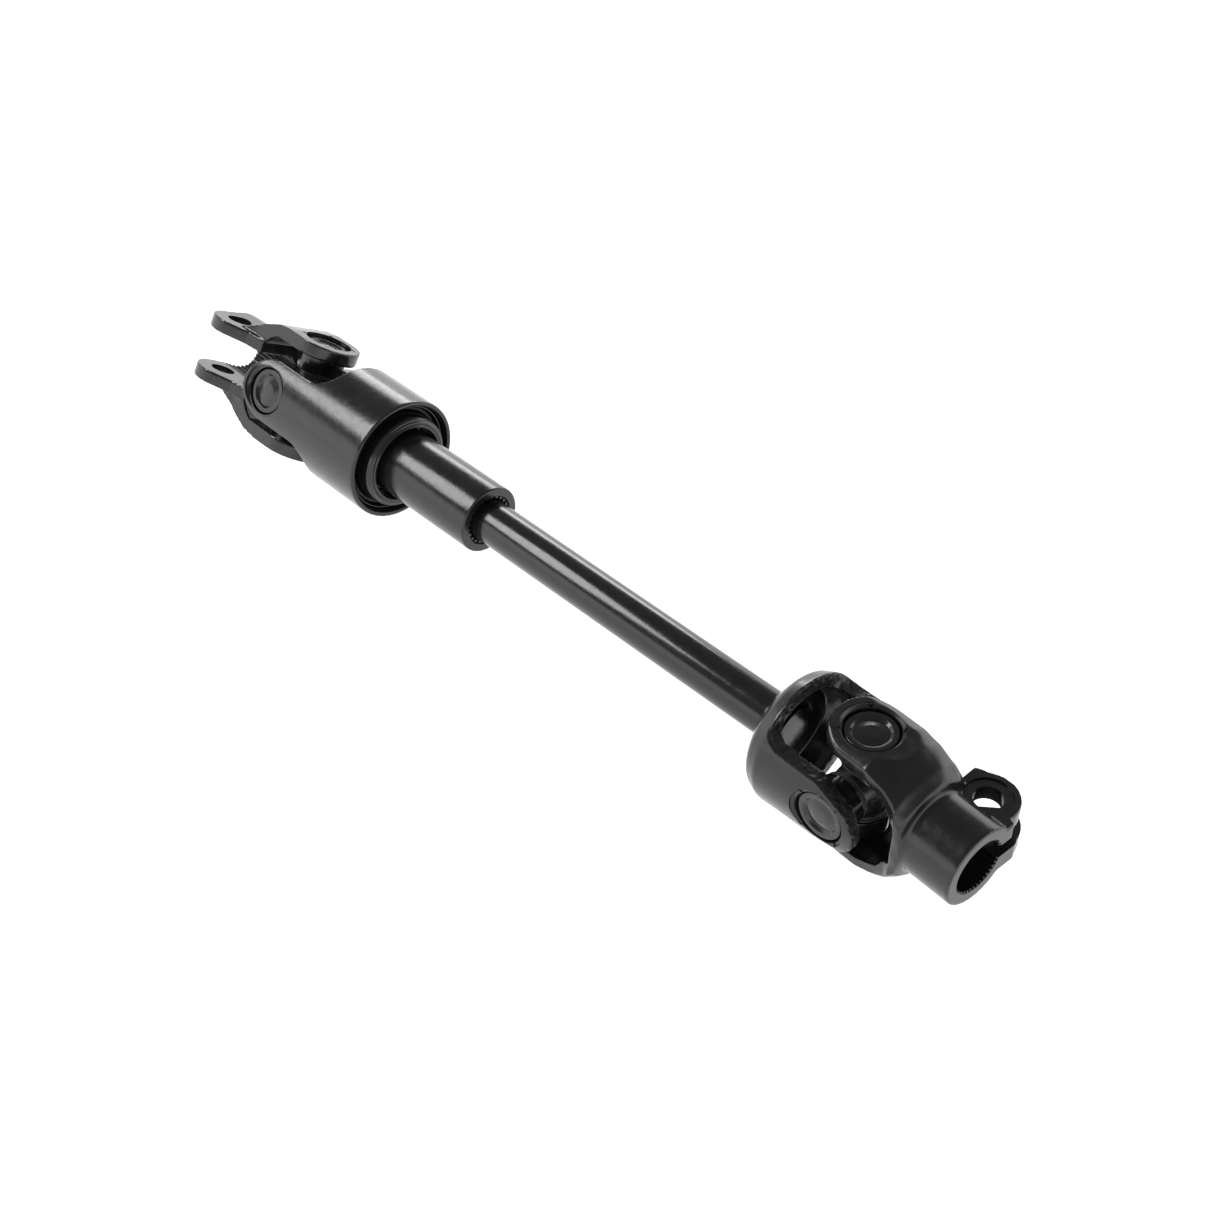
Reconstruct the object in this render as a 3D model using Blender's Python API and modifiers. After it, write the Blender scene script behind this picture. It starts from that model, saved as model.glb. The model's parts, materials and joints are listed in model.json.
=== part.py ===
"""Steering intermediate shaft: a rubber-isolated telescopic shaft between two universal joints.

The shaft's axis runs along +X. The left joint is rolled about that axis, as it is clocked on the real shaft.
The origin is the bottom centre of the bounding box. Units are metres.
"""

import math

import bmesh
import bpy
from mathutils import Matrix, Vector

MM = 0.001

# Layout along the shaft, measured from the left joint's centre
JOINT_SPACING = 255.0 * MM
HOUSING_END = 52.0 * MM
TUBE_START = 33.0 * MM
TUBE_END = 96.5 * MM
SPLINE_START = 47.0 * MM
SPLINE_END = 88.0 * MM
LEFT_ROLL = math.radians(-32.0)
RIGHT_SWING = math.radians(-3.5)

# Where the left joint's centre stands in the world
LEFT_JOINT_PLACE = Vector((-125.3771, -0.2071, 23.8713)) * MM

# Clearance between separate pieces
GAP = 0.3 * MM

# Shaft, tube and housing radii
SHAFT_RADIUS = 7.25 * MM
TUBE_RADIUS = 11.7 * MM
HOUSING_RADIUS = 21.6 * MM

# Spline teeth between the tube and the shaft
SPLINE_TEETH = 24
SHAFT_TOOTH_ROOT = 7.25 * MM
SHAFT_TOOTH_TIP = 8.2 * MM
TUBE_TOOTH_TIP = SHAFT_TOOTH_ROOT + GAP
TUBE_TOOTH_ROOT = SHAFT_TOOTH_TIP + GAP

# Yoke arms, shared by the four yokes
ARM_OUTER = 20.9 * MM
ARM_INNER = 16.0 * MM
ARM_END_RADIUS = 11.6 * MM
ARM_HALF_WIDTH = 11.2 * MM
CLAMP_ARM_OUTER = 21.3 * MM
CLAMP_ARM_HALF_WIDTH = 12.0 * MM

# The strap yoke on the shaft's end, and the rivet that holds it
YOKE_ARM_OUTER = 21.4 * MM
YOKE_ARM_INNER = 17.4 * MM
YOKE_BASE = 32.7 * MM
YOKE_BASE_THICKNESS = 5.7 * MM
YOKE_SHOULDER_SEAT = 0.9 * MM
RIVET_HEAD_RADIUS = 7.7 * MM
RIVET_NECK_RADIUS = 5.8 * MM
RIVET_HEAD_HEIGHT = 1.0 * MM

# Cross, needle rings, cups and seals
TRUNNION_RADIUS = 5.0 * MM
TRUNNION_END = 17.6 * MM
CROSS_SHOULDER_RADIUS = 6.6 * MM
CROSS_SHOULDER = 7.4 * MM
CUP_RADIUS = 8.0 * MM
CUP_BORE = 6.9 * MM
CUP_MOUTH = 9.9 * MM
CUP_FLOOR = 18.0 * MM
CUP_FACE = 19.6 * MM
DOME_RADIUS = 5.2 * MM
DOME_RISE = 0.7 * MM

# Facets round a turned piece
FINE = 32
MEDIUM = 18
COARSE = 14

X_AXIS = Matrix.Rotation(math.pi / 2, 4, "Y")
UP = Matrix.Identity(4)
DOWN = Matrix.Rotation(math.pi, 4, "X")
FAR = Matrix.Rotation(-math.pi / 2, 4, "X")
NEAR = Matrix.Rotation(math.pi / 2, 4, "X")
FLAT_XY = Matrix.Identity(4)
FLAT_XZ = Matrix.Rotation(math.pi / 2, 4, "X")
FLAT_YZ = Matrix(((0, 0, 1, 0), (1, 0, 0, 0), (0, 1, 0, 0), (0, 0, 0, 1)))


def clear_scene():
    for old in list(bpy.data.objects):
        bpy.data.objects.remove(old, do_unlink=True)


def new_collection(name):
    collection = bpy.data.collections.new(name)
    bpy.context.scene.collection.children.link(collection)
    return collection


def new_empty(name, parent=None, matrix=None):
    empty = bpy.data.objects.new(name, None)
    PARTS.objects.link(empty)
    empty.parent = parent
    if matrix is not None:
        empty.matrix_local = matrix
    return empty


def paint(name, colour, roughness, metallic):
    material = bpy.data.materials.new(name)
    material.use_nodes = True
    shader = material.node_tree.nodes["Principled BSDF"]
    shader.inputs["Base Color"].default_value = (*colour, 1.0)
    shader.inputs["Roughness"].default_value = roughness
    shader.inputs["Metallic"].default_value = metallic
    return material


def place(name, mesh, parent, matrix, material):
    """Link a mesh as a visible piece, or as a hidden cutter when it has no material."""
    piece = bpy.data.objects.new(name, mesh)
    piece.parent = parent
    piece.matrix_local = matrix
    if material is None:
        CUTTERS.objects.link(piece)
        piece.hide_render = True
        piece.display_type = "WIRE"
    else:
        PARTS.objects.link(piece)
        mesh.materials.append(material)
    return piece


def turned(name, outline, parent, matrix=X_AXIS, material=None, steps=MEDIUM, closed=False):
    """Turn an outline of (axial, radius) points, which runs down its outer side, about the matrix's Z axis."""
    mesh = bpy.data.meshes.new(name)
    edges = [(i, i + 1) for i in range(len(outline) - 1)]
    if closed:
        edges.append((len(outline) - 1, 0))
    mesh.from_pydata([(radius, 0.0, axial) for axial, radius in outline], edges, [])
    piece = place(name, mesh, parent, matrix, material)
    screw = piece.modifiers.new("turn", "SCREW")
    screw.steps = steps
    screw.render_steps = steps
    screw.use_merge_vertices = True
    screw.merge_threshold = 0.00001
    screw.use_smooth_shade = True
    return piece


def ring(name, start, end, inner, outer, parent, matrix=X_AXIS, material=None, steps=MEDIUM, chamfer=0.0):
    outline = [
        (end, inner),
        (end, outer - chamfer),
        (end - chamfer, outer),
        (start + chamfer, outer),
        (start, outer - chamfer),
        (start, inner),
    ]
    if chamfer == 0.0:
        outline = [(end, inner), (end, outer), (start, outer), (start, inner)]
    return turned(name, outline, parent, matrix, material, steps, closed=True)


def rod(name, start, end, radius, parent, matrix=X_AXIS, material=None, steps=MEDIUM):
    outline = [(end, 0.0), (end, radius), (start, radius), (start, 0.0)]
    return turned(name, outline, parent, matrix, material, steps)


def flat(name, outline, thickness, parent, matrix, material=None):
    """Extrude a closed outline by a thickness, centred on the outline's plane."""
    curve = bpy.data.curves.new(name, "CURVE")
    curve.dimensions = "2D"
    curve.fill_mode = "BOTH"
    curve.extrude = thickness / 2
    spline = curve.splines.new("POLY")
    spline.points.add(len(outline) - 1)
    for point, (u, v) in zip(spline.points, outline):
        point.co = (u, v, 0.0, 1.0)
    spline.use_cyclic_u = True
    guide = bpy.data.objects.new(name + "_outline", curve)
    bpy.context.scene.collection.objects.link(guide)
    graph = bpy.context.evaluated_depsgraph_get()
    mesh = bpy.data.meshes.new_from_object(guide.evaluated_get(graph))
    bpy.data.objects.remove(guide, do_unlink=True)
    mesh.name = name
    mesh.materials.clear()
    work = bmesh.new()
    work.from_mesh(mesh)
    bmesh.ops.remove_doubles(work, verts=work.verts, dist=0.000002)
    bmesh.ops.recalc_face_normals(work, faces=work.faces)
    work.to_mesh(mesh)
    work.free()
    return place(name, mesh, parent, matrix, material)


def block(name, low, high, parent, matrix=UP):
    """A box cutter between two opposite corners."""
    low = Vector(low)
    high = Vector(high)
    work = bmesh.new()
    bmesh.ops.create_cube(work, size=1.0)
    bmesh.ops.scale(work, vec=high - low, verts=work.verts)
    bmesh.ops.translate(work, vec=(low + high) / 2, verts=work.verts)
    mesh = bpy.data.meshes.new(name)
    work.to_mesh(mesh)
    work.free()
    return place(name, mesh, parent, matrix, None)


def combine(piece, operation, *others):
    for other in others:
        boolean = piece.modifiers.new(other.name, "BOOLEAN")
        boolean.operation = operation
        boolean.object = other
        boolean.solver = "EXACT"
    return piece


def arc(centre, radius, start, end, count):
    """Points on an arc between two angles in degrees, both ends included."""
    angles = [math.radians(start + (end - start) * i / count) for i in range(count + 1)]
    return [(centre[0] + radius * math.cos(a), centre[1] + radius * math.sin(a)) for a in angles]


def mirrored(half):
    """Close a half outline by its mirror image below the first coordinate's axis."""
    return half + [(u, -v) for u, v in reversed(half)]


def tooth_outline(teeth, root, tip):
    """A round outline with straight-sided teeth, as (u, v) points."""
    points = []
    for tooth in range(teeth):
        for share, radius in ((0.0, root), (0.34, root), (0.5, tip), (0.84, tip)):
            angle = math.tau * (tooth + share) / teeth
            points.append((radius * math.cos(angle), radius * math.sin(angle)))
    return points


def place_at(distance):
    return Matrix.Translation((distance, 0.0, 0.0))


def build_cross(side, joint):
    """The forged spider: two shouldered pins united at right angles."""
    half = [
        (TRUNNION_END, 0.0),
        (TRUNNION_END, TRUNNION_RADIUS - 0.8 * MM),
        (TRUNNION_END - 0.8 * MM, TRUNNION_RADIUS),
        (CROSS_SHOULDER, TRUNNION_RADIUS),
        (CROSS_SHOULDER, CROSS_SHOULDER_RADIUS),
        (4.0 * MM, CROSS_SHOULDER_RADIUS + 0.5 * MM),
    ]
    outline = half + [(-axial, radius) for axial, radius in reversed(half)]
    second = turned(side + "_cross_pin", outline, joint, FAR, steps=MEDIUM)
    cross = turned(side + "_cross", outline, joint, UP, STEEL, steps=MEDIUM)
    return combine(cross, "UNION", second)


def build_bearing(side, place_name, parent, matrix):
    """One cap: the staked cup, its ring of needles and the seal at its mouth."""
    label = f"{side}_{{}}_{place_name}"
    cup = [
        (CUP_FACE - 0.9 * MM + DOME_RISE, 0.0),
        (CUP_FACE - 0.9 * MM, DOME_RADIUS),
        (CUP_FACE, DOME_RADIUS + 0.5 * MM),
        (CUP_FACE, CUP_RADIUS - 0.6 * MM),
        (CUP_FACE - 0.6 * MM, CUP_RADIUS),
        (CUP_MOUTH, CUP_RADIUS),
        (CUP_MOUTH, CUP_BORE),
        (CUP_FLOOR, CUP_BORE),
        (CUP_FLOOR, 0.0),
    ]
    turned(label.format("cup"), cup, parent, matrix, BLACK_PAINT)
    ring(
        label.format("needles"),
        CUP_MOUTH + 0.6 * MM,
        TRUNNION_END - 0.8 * MM,
        TRUNNION_RADIUS + GAP,
        CUP_BORE - GAP,
        parent,
        matrix,
        BRIGHT_STEEL,
        steps=COARSE,
    )
    ring(
        label.format("seal"),
        CROSS_SHOULDER + GAP,
        CUP_MOUTH - GAP,
        TRUNNION_RADIUS + GAP,
        CUP_RADIUS - 0.3 * MM,
        parent,
        matrix,
        RUBBER,
        steps=MEDIUM,
    )


def pin_bore(name, joint, matrix):
    """A cutter for the cups' seats in two opposite arms."""
    reach = HOUSING_RADIUS + 6.0 * MM
    return rod(name, -reach, reach, CUP_RADIUS + GAP, joint, matrix, steps=24)


def arm_outline(direction, far_end, root, root_radius, half_width, full_width):
    """An arm's plan: a round end, straight sides and fillets that widen into the full body.

    direction is +1 where the arm's round end is at +X of the pin, and -1 where it is at -X.
    """
    end = arc((0.0, 0.0), half_width, 0, 90, 10)
    side_end = root - root_radius
    fillet = arc((side_end, half_width + root_radius), root_radius, -90, 0, 6)
    half = end + [(-u, v) for u, v in fillet] + [(-root, full_width), (-far_end, full_width)]
    if direction < 0:
        half = [(-u, v) for u, v in half]
    return mirrored(half)


def build_housing(joint):
    """The coupling housing: a cup for the rubber bush at one end and two yoke arms at the other."""
    web_left = 24.0 * MM
    web_right = 30.0 * MM
    bush_bore = 19.6 * MM
    lip = 1.4 * MM
    outline = [
        (web_right, 0.0),
        (web_right, bush_bore),
        (HOUSING_END, bush_bore),
        (HOUSING_END, HOUSING_RADIUS - lip),
        (HOUSING_END - 0.3 * lip, HOUSING_RADIUS - 0.3 * lip),
        (HOUSING_END - lip, HOUSING_RADIUS),
        (-ARM_END_RADIUS - 2.0 * MM, HOUSING_RADIUS),
        (-ARM_END_RADIUS - 2.0 * MM, ARM_INNER),
        (web_left - 9.0 * MM, ARM_INNER),
        (web_left - 2.0 * MM, 11.0 * MM),
        (web_left, 4.0 * MM),
        (web_left, 0.0),
    ]
    housing = turned("coupling_housing_yoke", outline, joint, X_AXIS, BLACK_PAINT, steps=FINE)
    plan = arm_outline(-1, HOUSING_END + 2 * MM, 23.8 * MM, 7.2 * MM, ARM_HALF_WIDTH, 24.0 * MM)
    arms = flat("housing_arm_plan", plan, 60.0 * MM, joint, FLAT_XZ)
    combine(housing, "INTERSECT", arms)
    seat = 9.6 * MM
    far_seat = rod("housing_seat_far", ARM_OUTER, ARM_OUTER + 5 * MM, seat, joint, FAR)
    near_seat = rod("housing_seat_near", ARM_OUTER, ARM_OUTER + 5 * MM, seat, joint, NEAR)
    bore = pin_bore("housing_pin_bore", joint, FAR)
    return combine(housing, "DIFFERENCE", far_seat, near_seat, bore)


def build_left_clamp(joint):
    """The open clamp yoke: a serrated trough with two bolt ears, bent out into two arms."""
    ear_outer = 11.9 * MM
    back_radius = 13.0 * MM
    trough_radius = 7.3 * MM
    trough_end = -41.0 * MM
    bolt = (-37.0 * MM, -8.7 * MM)
    ear_radius = 9.4 * MM
    back = 11.9 * MM
    arm_half = [
        (ARM_END_RADIUS, ARM_INNER),
        (ARM_END_RADIUS, ARM_OUTER),
        (-8.0 * MM, ARM_OUTER),
        (-14.0 * MM, ARM_OUTER - 0.8 * MM),
        (-20.0 * MM, ARM_OUTER - 3.2 * MM),
        (-26.0 * MM, ear_outer + 2.6 * MM),
        (-30.0 * MM, ear_outer + 0.5 * MM),
        (-33.0 * MM, ear_outer),
        (-33.0 * MM, 5.0 * MM),
        (-22.5 * MM, 5.0 * MM),
        (-20.5 * MM, 9.0 * MM),
        (-15.5 * MM, 14.2 * MM),
        (-12.5 * MM, ARM_INNER),
    ]
    arm_plan = arc((0.0, 0.0), ARM_END_RADIUS, -90, 90, 16) + [
        (-18.0 * MM, ARM_END_RADIUS),
        (-24.0 * MM, back - 2.0 * MM),
        (-34.0 * MM, back - 4.5 * MM),
        (-34.0 * MM, -ARM_END_RADIUS - 2.0 * MM),
        (-24.0 * MM, -ARM_END_RADIUS),
    ]
    upper = flat("left_clamp_upper_arm", arm_half, 40.0 * MM, joint, FLAT_XZ)
    lower = flat("left_clamp_lower_arm", [(u, -v) for u, v in arm_half], 40.0 * MM, joint, FLAT_XZ)
    plan = flat("left_clamp_arm_plan", arm_plan, 60.0 * MM, joint, FLAT_XY)
    channel_half = arc((0.0, 0.0), back_radius, 0, 90, 8) + [(-7.0 * MM, ear_outer), (-19.0 * MM, ear_outer)]
    channel_outline = mirrored(channel_half[1:]) + [channel_half[0]]
    channel = flat("left_clamp_channel", channel_outline, 30.0 * MM, joint, place_at(-33.0 * MM) @ FLAT_YZ)
    ear_plan = [
        (-18.2 * MM, back + 1.0 * MM),
        (trough_end, back + 1.0 * MM),
        (trough_end, 5.2 * MM),
        (-44.6 * MM, -0.6 * MM),
    ]
    ear_plan += arc(bolt, ear_radius, 152, 305, 10)
    ear_plan += [(-26.0 * MM, -13.2 * MM), (-18.2 * MM, -11.8 * MM)]
    ears = flat("left_clamp_ear_plan", ear_plan, 60.0 * MM, joint, FLAT_XY)
    combine(channel, "INTERSECT", ears)
    combine(upper, "INTERSECT", plan)
    combine(lower, "INTERSECT", plan)
    yoke = flat("left_clamp_yoke", channel_outline, 3.0 * MM, joint, place_at(-33.0 * MM) @ FLAT_YZ, BLACK_PAINT)
    combine(yoke, "UNION", channel, upper, lower)
    groove = tooth_outline(26, trough_radius, trough_radius + 0.55 * MM)
    trough = flat("left_clamp_trough", groove, 60.0 * MM, joint, place_at(-30.0 * MM) @ FLAT_YZ)
    mouth = block(
        "left_clamp_mouth",
        (-60.0 * MM, -30.0 * MM, -trough_radius),
        (-17.0 * MM, 0.0, trough_radius),
        joint,
    )
    bore = pin_bore("left_clamp_pin_bore", joint, UP)
    bolt_hole = rod(
        "left_clamp_bolt_hole",
        -30.0 * MM,
        30.0 * MM,
        4.3 * MM,
        joint,
        Matrix.Translation((bolt[0], bolt[1], 0.0)),
    )
    return combine(yoke, "DIFFERENCE", trough, mouth, bore, bolt_hole)


def build_coupling(axis):
    """The bonded rubber bush that joins the housing to the tube."""
    turned(
        "inner_sleeve",
        [
            (54.8 * MM, 13.4 * MM),
            (54.8 * MM, 15.6 * MM),
            (53.9 * MM, 16.5 * MM),
            (36.0 * MM, 16.5 * MM),
            (36.0 * MM, TUBE_RADIUS + GAP),
            (45.0 * MM, TUBE_RADIUS + GAP),
            (45.0 * MM, 13.4 * MM),
        ],
        axis,
        X_AXIS,
        BLACK_PAINT,
        steps=FINE,
        closed=True,
    )
    ring("bush_outer_shell", 31.0 * MM, 49.5 * MM, 18.7 * MM, 19.3 * MM, axis, X_AXIS, BLACK_PAINT, FINE)
    turned(
        "rubber_isolator",
        [
            (48.0 * MM, 16.8 * MM),
            (48.0 * MM, 18.4 * MM),
            (34.0 * MM, 18.4 * MM),
            (34.0 * MM, 13.0 * MM),
            (35.7 * MM, 13.0 * MM),
            (35.7 * MM, 16.8 * MM),
        ],
        axis,
        X_AXIS,
        RUBBER,
        steps=FINE,
        closed=True,
    )
    ring(
        "tube_retaining_ring",
        45.4 * MM,
        47.0 * MM,
        TUBE_RADIUS + GAP,
        13.1 * MM,
        axis,
        X_AXIS,
        STEEL,
        FINE,
    )


def build_tube(axis):
    """The outer tube with its internal spline, and the plug that closes its hidden end."""
    chamfer = 0.7 * MM
    outline = [
        (TUBE_END, 0.0),
        (TUBE_END, TUBE_RADIUS - chamfer),
        (TUBE_END - chamfer, TUBE_RADIUS),
        (TUBE_START, TUBE_RADIUS),
        (TUBE_START, 0.0),
    ]
    tube = turned("outer_tube", outline, axis, X_AXIS, BLACK_PAINT, steps=FINE)
    teeth = tooth_outline(SPLINE_TEETH, TUBE_TOOTH_TIP, TUBE_TOOTH_ROOT)
    middle = (TUBE_START + TUBE_END) / 2
    cutter = flat("tube_spline", teeth, 80.0 * MM, axis, place_at(middle) @ FLAT_YZ)
    combine(tube, "DIFFERENCE", cutter)
    rod("tube_end_plug", TUBE_START + 0.5 * MM, TUBE_START + 2.5 * MM, SHAFT_RADIUS, axis, X_AXIS, STEEL)


def build_shaft(axis):
    """The inner shaft: splined where it slides in the tube, with a riveted end in the yoke's base."""
    base_outer = JOINT_SPACING - YOKE_BASE
    base_inner = base_outer + YOKE_BASE_THICKNESS
    chamfer = 0.3 * MM
    head_face = base_inner + RIVET_HEAD_HEIGHT
    shoulder = base_outer + YOKE_SHOULDER_SEAT - GAP
    outline = [
        (head_face, 0.0),
        (head_face, RIVET_HEAD_RADIUS - chamfer),
        (head_face - chamfer, RIVET_HEAD_RADIUS),
        (base_inner + GAP, RIVET_HEAD_RADIUS),
        (base_inner + GAP, RIVET_NECK_RADIUS),
        (shoulder, RIVET_NECK_RADIUS),
        (shoulder, SHAFT_RADIUS),
        (SPLINE_END, SHAFT_RADIUS),
        (SPLINE_END, 4.0 * MM),
        (SPLINE_END - 2.0 * MM, 4.0 * MM),
        (SPLINE_END - 2.0 * MM, 0.0),
    ]
    shaft = turned("inner_shaft", outline, axis, X_AXIS, BLACK_PAINT, steps=FINE)
    teeth = tooth_outline(SPLINE_TEETH, SHAFT_TOOTH_ROOT, SHAFT_TOOTH_TIP)
    middle = (SPLINE_START + SPLINE_END) / 2
    splined = flat("shaft_spline", teeth, SPLINE_END - SPLINE_START, axis, place_at(middle) @ FLAT_YZ)
    return combine(shaft, "UNION", splined)


def build_shaft_yoke(joint):
    """The shaft yoke: a round cup riveted to the shaft's end, its wall cut away to leave two arms."""
    base_inner = -YOKE_BASE + YOKE_BASE_THICKNESS
    rim = -22.8 * MM
    arm_end = 14.0 * MM
    outline = [
        (base_inner, 0.0),
        (base_inner, 14.2 * MM),
        (-25.6 * MM, 15.0 * MM),
        (-24.5 * MM, 15.6 * MM),
        (rim, 16.6 * MM),
        (-20.5 * MM, YOKE_ARM_INNER),
        (arm_end, YOKE_ARM_INNER),
        (arm_end, YOKE_ARM_OUTER),
        (-23.6 * MM, YOKE_ARM_OUTER),
        (-26.4 * MM, 20.2 * MM),
        (-28.8 * MM, 17.9 * MM),
        (-30.9 * MM, 14.0 * MM),
        (-32.2 * MM, 9.5 * MM),
        (-YOKE_BASE, 8.6 * MM),
        (-YOKE_BASE, 0.0),
    ]
    yoke = turned("shaft_yoke", outline, joint, X_AXIS, BLACK_PAINT, steps=FINE)
    half = [
        (12.7 * MM, 0.0),
        (12.6 * MM, 2.6 * MM),
        (11.2 * MM, 5.0 * MM),
        (8.8 * MM, 6.9 * MM),
        (5.5 * MM, 8.3 * MM),
        (1.4 * MM, 9.5 * MM),
        (-2.6 * MM, 10.3 * MM),
        (-8.0 * MM, 10.8 * MM),
        (-14.0 * MM, 10.9 * MM),
        (-18.0 * MM, 11.2 * MM),
        (-20.8 * MM, 12.3 * MM),
        (-22.3 * MM, 14.2 * MM),
        (rim, 16.8 * MM),
        (rim, 24.0 * MM),
        (-40.0 * MM, 24.0 * MM),
    ]
    arm_plan = flat("shaft_yoke_arm_plan", mirrored(half), 60.0 * MM, joint, FLAT_XZ)
    low_rim = block("shaft_yoke_low_rim", (-40 * MM, -30 * MM, -30 * MM), (-19.5 * MM, 30 * MM, 0.0), joint)
    combine(arm_plan, "UNION", low_rim)
    combine(yoke, "INTERSECT", arm_plan)
    outer_seat = -YOKE_BASE + YOKE_SHOULDER_SEAT
    neck = rod("shaft_yoke_neck_hole", -45 * MM, -20 * MM, RIVET_NECK_RADIUS + GAP, joint, steps=FINE)
    groove_floor = base_inner - 0.8 * MM
    groove = rod("shaft_yoke_groove", groove_floor, -20 * MM, RIVET_HEAD_RADIUS + 1.3 * MM, joint, steps=FINE)
    seat = rod("shaft_yoke_shoulder_seat", -45 * MM, outer_seat, SHAFT_RADIUS + GAP, joint, steps=FINE)
    bore = pin_bore("shaft_yoke_pin_bore", joint, FAR)
    spot = 9.2 * MM
    far_spot = rod("shaft_yoke_far_spot", 20.0 * MM, 26 * MM, spot, joint, FAR)
    near_spot = rod("shaft_yoke_near_spot", 20.0 * MM, 26 * MM, spot, joint, NEAR)
    return combine(yoke, "DIFFERENCE", neck, groove, seat, bore, far_spot, near_spot)


def build_right_clamp(pivot):
    """The forged clamp yoke: a bell with two arms, a serrated split hub and two bolt ears."""
    hub_end = 41.5 * MM
    hub_radius = 12.7 * MM
    bore_radius = 8.8 * MM
    bolt = (30.6 * MM, 14.9 * MM)
    ear_radius = 9.0 * MM
    ear_top = 8.0 * MM
    lug_bottom = 8.8 * MM
    slot = 2.5 * MM
    hub_back = 21.4 * MM
    outline = [
        (hub_end, 0.0),
        (hub_end, hub_radius - 0.6 * MM),
        (hub_end - 0.6 * MM, hub_radius),
        (24.9 * MM, hub_radius),
        (24.4 * MM, 14.4 * MM),
        (23.2 * MM, 16.4 * MM),
        (21.0 * MM, 18.2 * MM),
        (17.8 * MM, 19.8 * MM),
        (14.5 * MM, 21.2 * MM),
        (11.0 * MM, 22.4 * MM),
        (7.0 * MM, 22.8 * MM),
        (-13.0 * MM, 22.8 * MM),
        (-13.0 * MM, 0.0),
    ]
    yoke = turned("right_clamp_yoke", outline, pivot, X_AXIS, BLACK_PAINT, steps=FINE)
    side_profile = [
        (hub_end + 2 * MM, CLAMP_ARM_OUTER),
        (-20 * MM, CLAMP_ARM_OUTER),
        (-20 * MM, ARM_INNER),
        (9.0 * MM, ARM_INNER),
        (13.5 * MM, 14.2 * MM),
        (16.9 * MM, 12.4 * MM),
        (18.4 * MM, 9.2 * MM),
        (20.6 * MM, 7.2 * MM),
        (hub_back, 5.6 * MM),
    ]
    side_outline = side_profile + [(u, -v) for u, v in reversed(side_profile)]
    side = flat("right_clamp_side_profile", side_outline, 60.0 * MM, pivot, FLAT_XZ)
    plan = arc((0.0, 0.0), CLAMP_ARM_HALF_WIDTH, 180, 90, 10)
    plan += [(hub_end + 2 * MM, hub_radius + 1.0 * MM)]
    plan.insert(-1, (hub_back - 2.0 * MM, CLAMP_ARM_HALF_WIDTH))
    plan.insert(-1, (hub_back + 2.0 * MM, hub_radius + 1.0 * MM))
    arms = flat("right_clamp_arm_plan", mirrored(plan), 60.0 * MM, pivot, FLAT_XY)
    combine(yoke, "INTERSECT", side, arms)
    ear_side = [(21.5 * MM, 20.7 * MM), (20.5 * MM, 0.0), (hub_end - 0.3 * MM, 0.0)]
    ear_outline = arc(bolt, ear_radius, -10, 112, 9) + ear_side + [(hub_end - 0.3 * MM, 13.0 * MM)]
    ears = flat("right_clamp_ears", ear_outline, 2 * ear_top, pivot, FLAT_XY)
    lug_side = [(hub_back, 14.0 * MM), (20.5 * MM, 0.0), (hub_end - 0.3 * MM, 0.0)]
    lug_outline = arc(bolt, ear_radius + 1.2 * MM, 12, 78, 6) + lug_side + [(hub_end - 0.3 * MM, 15.5 * MM)]
    lug_middle = -(lug_bottom + slot) / 2
    lug_place = Matrix.Translation((0.0, 0.0, lug_middle))
    lug = flat("right_clamp_lower_lug", lug_outline, lug_bottom - slot, pivot, lug_place)
    combine(yoke, "UNION", ears, lug)
    serration = tooth_outline(30, bore_radius - 0.55 * MM, bore_radius)
    bore = flat("right_clamp_bore", serration, 40 * MM, pivot, place_at(30 * MM) @ FLAT_YZ)
    split = block("right_clamp_split", (15 * MM, 0.0, -slot), (60 * MM, 40 * MM, slot), pivot)
    seat = 9.2 * MM
    top_seat = rod("right_clamp_seat_top", ARM_OUTER, ARM_OUTER + 5 * MM, seat, pivot, UP)
    low_seat = rod("right_clamp_seat_low", ARM_OUTER, ARM_OUTER + 5 * MM, seat, pivot, DOWN)
    pins = pin_bore("right_clamp_pin_bore", pivot, UP)
    at_bolt = Matrix.Translation((bolt[0], bolt[1], 0.0))
    bolt_hole = rod("right_clamp_bolt_hole", -30 * MM, 30 * MM, 4.3 * MM, pivot, at_bolt)
    spot_face = rod("right_clamp_spot_face", ear_top - 0.6 * MM, ear_top + 8 * MM, 7.1 * MM, pivot, at_bolt)
    return combine(yoke, "DIFFERENCE", bore, split, top_seat, low_seat, pins, bolt_hole, spot_face)


clear_scene()
PARTS = new_collection("universal_joint_shaft")
CUTTERS = new_collection("cutters")
BLACK_PAINT = paint("black_paint", (0.012, 0.012, 0.013), 0.32, 0.0)
STEEL = paint("dark_steel", (0.16, 0.16, 0.17), 0.38, 1.0)
BRIGHT_STEEL = paint("bright_steel", (0.55, 0.55, 0.56), 0.25, 1.0)
RUBBER = paint("rubber", (0.015, 0.015, 0.015), 0.7, 0.0)

AXIS = new_empty("shaft_axis", None, Matrix.Translation(LEFT_JOINT_PLACE))
LEFT_JOINT = new_empty("left_joint", AXIS, Matrix.Rotation(LEFT_ROLL, 4, "X"))
RIGHT_JOINT = new_empty("right_joint", AXIS, place_at(JOINT_SPACING))
RIGHT_CLAMP = new_empty("right_clamp_pivot", RIGHT_JOINT, Matrix.Rotation(RIGHT_SWING, 4, "Z"))

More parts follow.
